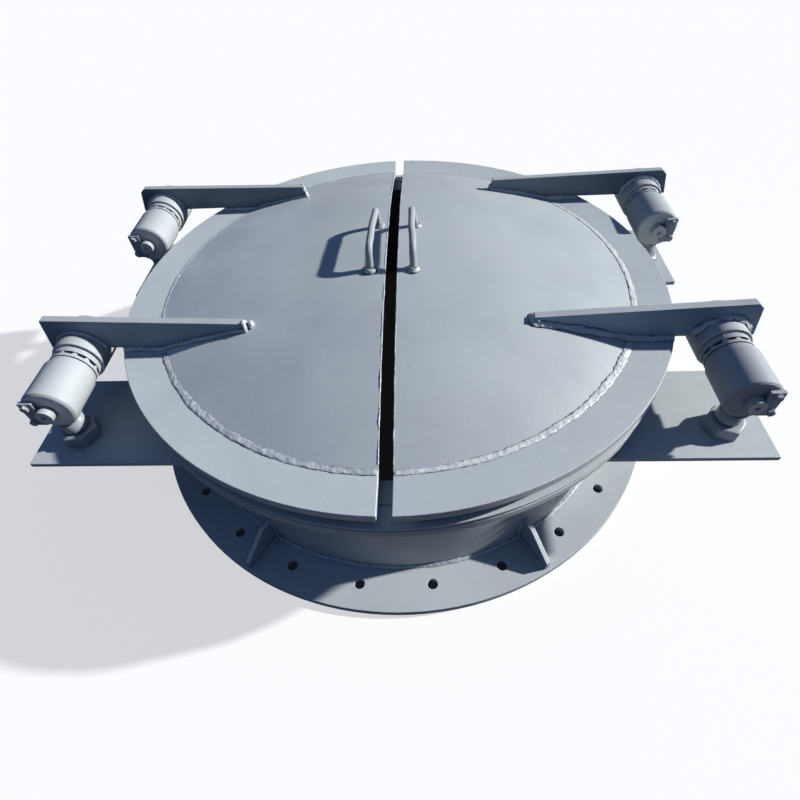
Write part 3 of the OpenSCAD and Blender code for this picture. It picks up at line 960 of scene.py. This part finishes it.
# Bevels at a hexagon's foot and at its bore.
HEX_FOOT = 0.6 * MM
BORE_EDGE = 0.8 * MM
WASHER_SIDES = 40
WASHER_BEVEL = 0.5 * MM


def square_to(axis):
    """Two directions square to an axis of length 1 and to each other."""
    first = axis.orthogonal().normalized()
    return first, axis.cross(first)


def hex_mesh(centre, axis, flats, height, bore, turn, crown_share):
    """Hexagon with a chamfered top, whose round crown is a share of the flats, and with a hole of
    the radius bore if that is above 0."""
    x_dir, y_dir = square_to(axis)
    crown = flats / 2 * crown_share
    bore_edge = BORE_EDGE if bore else 0.0

    def ring(r_of, h_of):
        out = []
        for j in range(HEX_SIDES):
            a = TAU * j / HEX_SIDES + turn
            r = r_of(j)
            out.append(centre + (x_dir * math.cos(a) + y_dir * math.sin(a)) * r + axis * h_of(r))
        return out

    def hexagon(j):
        a = (TAU * j / HEX_SIDES) % (TAU / 6) - TAU / 12
        return flats / 2 / math.cos(a)

    rings = [
        ring(lambda j: bore, lambda r: 0.0),
        ring(lambda j: hexagon(j) - HEX_FOOT, lambda r: 0.0),
        ring(hexagon, lambda r: HEX_FOOT),
        ring(hexagon, lambda r: height - (r - crown) * HEX_SLOPE),
        ring(lambda j: crown, lambda r: height),
        ring(lambda j: bore + bore_edge, lambda r: height),
        ring(lambda j: bore, lambda r: height - bore_edge)]
    if bore:
        return skin(rings, closed=True)
    return skin(rings[1:5])


def washer_mesh(centre, axis, outer, thick):
    """Round washer with a bevelled rim."""
    x_dir, y_dir = square_to(axis)
    angles = [TAU * j / WASHER_SIDES for j in range(WASHER_SIDES)]
    rings = []
    for r, h in ((outer, 0.0), (outer, thick * 0.7), (outer - WASHER_BEVEL, thick), (outer / 2, thick)):
        rings.append([centre + (x_dir * math.cos(a) + y_dir * math.sin(a)) * r + axis * h for a in angles])
    return skin(rings)


# The nuts' bore is a little wider than the thread.
NUT_FLATS = 60 * MM
NUT_BORE = THREAD_R + 0.2 * MM
NUT_CROWN = 0.93
SCREW_FLATS = 12.4 * MM
SCREW_HEIGHT = 5.2 * MM
SCREW_CROWN = 0.9
WASHER_R = 7.6 * MM
WASHER_THICK = 1.6 * MM
# Places of a keeper plate's two screws: in from its outer end, and up from the hinge axis.
SCREW_SPOTS = ((7 * MM, -17 * MM), (12 * MM, 20 * MM))


def nut_mesh(corner, turn):
    """The nut of a corner's stud, turned by an angle."""
    cx, cy = stud_size(corner)[:2]
    foot = low("hex_nuts").z
    height = high("hex_nuts").z - foot
    return hex_mesh(Vector((cx, cy, foot)), UP, NUT_FLATS, height, NUT_BORE, turn, NUT_CROWN)


def screw_meshes(corner, rng):
    """A keeper plate's two screws, each on its washer."""
    s = side(corner)
    keeper_lo, keeper_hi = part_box("keeper_plates")
    outer = keeper_hi.x if s > 0 else -keeper_lo.x
    thick = low("housing_fl").y - low("keeper_plates").y
    face = low("housing_" + corner).y - thick
    out = []
    for inward, rise in SCREW_SPOTS:
        seat = Vector((s * (outer - inward), face, top_z + rise))
        head = seat - Y * WASHER_THICK
        out.append(washer_mesh(seat, -Y, WASHER_R, WASHER_THICK))
        out.append(hex_mesh(head, -Y, SCREW_FLATS, SCREW_HEIGHT, 0.0, rng.uniform(0, 1), SCREW_CROWN))
    return out


def fasteners():
    """Studs, nuts and keeper screws, each hexagon turned at random, and the seams on the collars."""
    rng = random.Random(7)
    nuts, saddles, screws = [], [], []
    for corner in CORNERS:
        stud_piece(corner)
        saddles.append(stud_saddle(corner))
        nuts.append(nut_mesh(corner, rng.uniform(0, 1)))
        screws += screw_meshes(corner, rng)
    obj = piece("chamfered_nuts", *joined(nuts), fastener_paint, "frame", "fastener_steel", smooth=False)
    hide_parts("hex_nuts")
    piece("keeper_screws", *joined(screws), fastener_paint, "frame", "fastener_steel", smooth=False)
    weld_piece("weld_studs", "frame", saddles)


# ---------------------------------------------------------------- handles

# How far each rod stands off the line of its CAD solid, along X, in millimetres: foot and top of
# the rear leg, then foot and top of the front leg.
ROD_LEAN = {"left": (11, 6.5, 1, 0), "right": (7, -2.5, 1.5, 1)}
# How far the bar's ends stand in from the feet, along Y, in millimetres: rear, then front.
ROD_IN = (5, 10)
# Radius of the bends, drop of the bar below its CAD solid, and how far the bar bows sideways.
ROD_BEND = 18 * MM
ROD_DROP = 1 * MM
ROD_BOW = 0.8 * MM
# Share of the dome's height at which a rod starts, so that its feet are sunk in.
ROD_FOOT = 0.9
ROD_SIDES = 20
LEG_STEPS = 6
BEND_STEPS = 8
BAR_STEPS = 12
# Steps round a foot's weld, its radius as a share of the rod's, its roughness, and its size at the
# front and at the rear.
LOOP_STEPS = 32
LOOP_SHARE = 0.9
LOOP_ROUGH = 1.8
LOOP_SIZES = (1.25, 1.0)


def tube(path, radius):
    """Round rod along a path, whose rings follow its bends without twisting."""
    angles = [TAU * j / ROD_SIDES for j in range(ROD_SIDES)]
    rings = []
    side_dir = X
    for i, point in enumerate(path):
        before, after = path[max(0, i - 1)], path[min(len(path) - 1, i + 1)]
        along = (after - before).normalized()
        side_dir = (side_dir - along * side_dir.dot(along)).normalized()
        other = along.cross(side_dir)
        rings.append([point + (side_dir * math.cos(a) + other * math.sin(a)) * radius for a in angles])
    return skin(rings)


def rod_path(name, cx, y0, y1, top):
    """Middle line of one hand-bent rod, from the front foot to the rear foot."""
    rear_foot, rear_top, front_foot, front_top = (v * MM for v in ROD_LEAN[name])
    base = top_z + dome_h * ROD_FOOT
    shoulder = top - ROD_BEND
    bar = y1 - y0 - 2 * ROD_BEND

    def spot(y, z):
        share = (y - y0) / (y1 - y0)
        rise = min(1.0, max(0.0, (z - base) / (top - base)))
        foot = front_foot + (rear_foot - front_foot) * share
        head = front_top + (rear_top - front_top) * share
        bow = ROD_BOW * math.sin(3 * math.pi * share) * rise
        lean_in = (ROD_IN[1] * (1 - share) - ROD_IN[0] * share) * MM * rise
        return Vector((cx + foot + (head - foot) * rise + bow, y + lean_in, z))

    def rear_bend(a):
        return spot(y1 - ROD_BEND * (1 - math.sin(a)), shoulder + ROD_BEND * math.cos(a))

    def front_bend(a):
        return spot(y0 + ROD_BEND * (1 - math.cos(a)), shoulder + ROD_BEND * math.sin(a))

    quarter = [math.pi / 2 * i / BEND_STEPS for i in range(1, BEND_STEPS + 1)]
    path = [spot(y0, base + (shoulder - base) * i / LEG_STEPS) for i in range(LEG_STEPS + 1)]
    path += [front_bend(a) for a in quarter]
    path += [spot(y0 + ROD_BEND + bar * i / BAR_STEPS, top) for i in range(1, BAR_STEPS)]
    path += [rear_bend(a) for a in [0.0] + quarter]
    path += [spot(y1, shoulder - (shoulder - base) * i / LEG_STEPS) for i in range(1, LEG_STEPS + 1)]
    return path


def handles():
    """Hand-bent rods that lean a little, each with a lumpy weld round both feet."""
    for name, body, s in FLAPS:
        lo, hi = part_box("handle_" + name)
        radius = (hi.x - lo.x) / 2
        cx = (lo.x + hi.x) / 2
        y0, y1 = lo.y + radius, hi.y - radius
        path = rod_path(name, cx, y0, y1, hi.z - radius - ROD_DROP)
        obj = piece("rod_handle_" + name, *tube(path, radius), rod_paint, body)
        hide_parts("handle_" + name)
        runs = []
        for end, size in zip((path[0], path[-1]), LOOP_SIZES):
            base = Vector((end.x, end.y, dome_z(end.x, end.y)))
            loop = arc(base, radius * LOOP_SHARE, 0, TAU, X, Y, UP, LOOP_STEPS, size)
            seed = SEED["handle"] + end.y * 40 + s
            runs.append(bead(loop, *HANDLE_SEAM, FILLET, seed, closed=True, rough=LOOP_ROUGH))
        weld_piece("weld_handle_" + name, body, runs)


# ---------------------------------------------------------------- floor, light and camera

# Half size of the floor in metres, and its drop below the gate.
FLOOR_HALF = 30
FLOOR_DROP = 0.5 * MM
# What the camera sees of the floor: its glow, its colour outside the base flange and the painted shade
# inside it, the strength of the glow inside, and how far inside the flange's rim the change lies.
FLOOR_GLOW = (0.62, 0.62, 0.62)
FLOOR_OUTSIDE = (0.34, 0.34, 0.34)
FLOOR_PAINTED_SHADE = (0.05, 0.06, 0.07)
INSIDE_STRENGTH = 0.007
RIM_INSET = 4 * MM
# Colour of the floor in the light that it throws back on the gate.
FELT = (0.11, 0.11, 0.115)


def floor_material():
    """White to the camera but with painted shade inside the base flange, and dark felt for all other rays.
    """
    n = Nodes("floor")
    reach = n.tree.nodes.new("ShaderNodeVectorMath")
    reach.operation = "LENGTH"
    n.link(n.place, reach.inputs[0])
    outside = n.math("GREATER_THAN", reach.outputs["Value"], high("base_flange").y - RIM_INSET)
    # Painted shade inside the base flange: a dark floor colour and almost no glow.
    n.link(n.mix(outside, FLOOR_PAINTED_SHADE, FLOOR_OUTSIDE), n.bsdf.inputs["Base Color"])
    n.link(n.math("MAXIMUM", outside, INSIDE_STRENGTH), n.bsdf.inputs["Emission Strength"])
    n.bsdf.inputs["Emission Color"].default_value = (*FLOOR_GLOW, 1)
    n.bsdf.inputs["Roughness"].default_value = 1.0
    n.bsdf.inputs["Specular IOR Level"].default_value = 0.0
    felt = n.tree.nodes.new("ShaderNodeBsdfDiffuse")
    felt.inputs["Color"].default_value = (*FELT, 1)
    path = n.tree.nodes.new("ShaderNodeLightPath")
    seen = n.math("MAXIMUM", path.outputs["Is Camera Ray"], path.outputs["Is Transmission Ray"])
    choice = n.tree.nodes.new("ShaderNodeMixShader")
    n.link(seen, choice.inputs["Fac"])
    n.link(felt.outputs[0], choice.inputs[1])
    n.link(n.bsdf.outputs[0], choice.inputs[2])
    n.link(choice.outputs[0], n.tree.nodes["Material Output"].inputs["Surface"])
    return n.mat


def floor():
    """Square floor, which is staging only."""
    corners = [(-FLOOR_HALF, -FLOOR_HALF, 0), (FLOOR_HALF, -FLOOR_HALF, 0),
               (FLOOR_HALF, FLOOR_HALF, 0), (-FLOOR_HALF, FLOOR_HALF, 0)]
    mesh = bpy.data.meshes.new("floor")
    mesh.from_pydata(corners, [], [(0, 1, 2, 3)])
    mesh.materials.append(floor_material())
    obj = bpy.data.objects.new("floor", mesh)
    obj.location.z = -FLOOR_DROP
    bpy.context.scene.collection.objects.link(obj)


SUN_FROM = Vector((0.861, 0.197, 0.470)).normalized()
SUN_ENERGY = 6.35
SUN_WIDTH = math.radians(1.8)
SUN_COLOUR = (1.0, 0.985, 0.95)
HORIZON = (0.040, 0.058, 0.105)
ZENITH = (0.085, 0.142, 0.300)


def sun():
    """The key light, low from the right and a little from the rear."""
    light = bpy.data.lights.new("key", "SUN")
    light.energy = SUN_ENERGY
    light.angle = SUN_WIDTH
    light.color = SUN_COLOUR
    obj = bpy.data.objects.new("key", light)
    obj.rotation_mode = "QUATERNION"
    obj.rotation_quaternion = SUN_FROM.to_track_quat("Z", "Y")
    bpy.context.scene.collection.objects.link(obj)


def sky():
    """Blue fill light that is white to the camera."""
    world = bpy.data.worlds.new("studio")
    world.use_nodes = True
    bpy.context.scene.world = world
    tree = world.node_tree
    fill = tree.nodes["Background"]
    coord = tree.nodes.new("ShaderNodeTexCoord")
    height = tree.nodes.new("ShaderNodeSeparateXYZ")
    tree.links.new(coord.outputs["Generated"], height.inputs[0])
    blue = tree.nodes.new("ShaderNodeMix")
    blue.data_type = "RGBA"
    blue.inputs["A"].default_value = (*HORIZON, 1)
    blue.inputs["B"].default_value = (*ZENITH, 1)
    tree.links.new(height.outputs["Z"], blue.inputs["Factor"])
    tree.links.new(blue.outputs["Result"], fill.inputs["Color"])
    white = tree.nodes.new("ShaderNodeBackground")
    white.inputs["Color"].default_value = (1, 1, 1, 1)
    path = tree.nodes.new("ShaderNodeLightPath")
    choice = tree.nodes.new("ShaderNodeMixShader")
    tree.links.new(path.outputs["Is Camera Ray"], choice.inputs["Fac"])
    tree.links.new(fill.outputs[0], choice.inputs[1])
    tree.links.new(white.outputs[0], choice.inputs[2])
    tree.links.new(choice.outputs[0], tree.nodes["World Output"].inputs["Surface"])


# The photo's camera: elevation, azimuth and roll, and its place to the right, up and back from the
# middle of the flap rings' top, in ring radii.
ELEVATION = math.radians(49.5106)
AZIMUTH = math.radians(4.4222)
ROLL = math.radians(-4.2256)
PLACE_RIGHT = 0.0210
PLACE_UP = -0.4622
PLACE_BACK = 1.9537
SENSOR = 36
# Focal length as a share of the picture's width.
FOCAL_SHARE = 0.63575


def camera():
    """Camera above the front of the gate, looking down along the slit and rolled a little."""
    flat = math.cos(ELEVATION)
    back = Vector((math.sin(AZIMUTH) * flat, -math.cos(AZIMUTH) * flat, math.sin(ELEVATION)))
    level = (-back).cross(UP).normalized()
    above = level.cross(-back)
    right = math.cos(ROLL) * level + math.sin(ROLL) * above
    up = math.cos(ROLL) * above - math.sin(ROLL) * level
    data = bpy.data.cameras.new("camera")
    data.sensor_width = SENSOR
    data.lens = SENSOR * FOCAL_SHARE
    data.clip_start = 0.05
    data.clip_end = 100
    obj = bpy.data.objects.new("camera", data)
    turn = Matrix((right, up, back)).transposed().to_4x4()
    place = (back * PLACE_BACK + right * PLACE_RIGHT + up * PLACE_UP) * ring_r + UP * top_z
    obj.matrix_world = Matrix.Translation(place) @ turn
    bpy.context.scene.collection.objects.link(obj)
    bpy.context.scene.camera = obj


for node_name, node_object in NODES.items():
    dress_node(node_name, node_object)
dome_welds()
cut_edges()
arm_welds()
neck_welds()
gusset_welds()
side_plate_welds()
fasteners()
handles()
floor()
sun()
sky()
camera()
bpy.context.scene.view_settings.view_transform = "Standard"
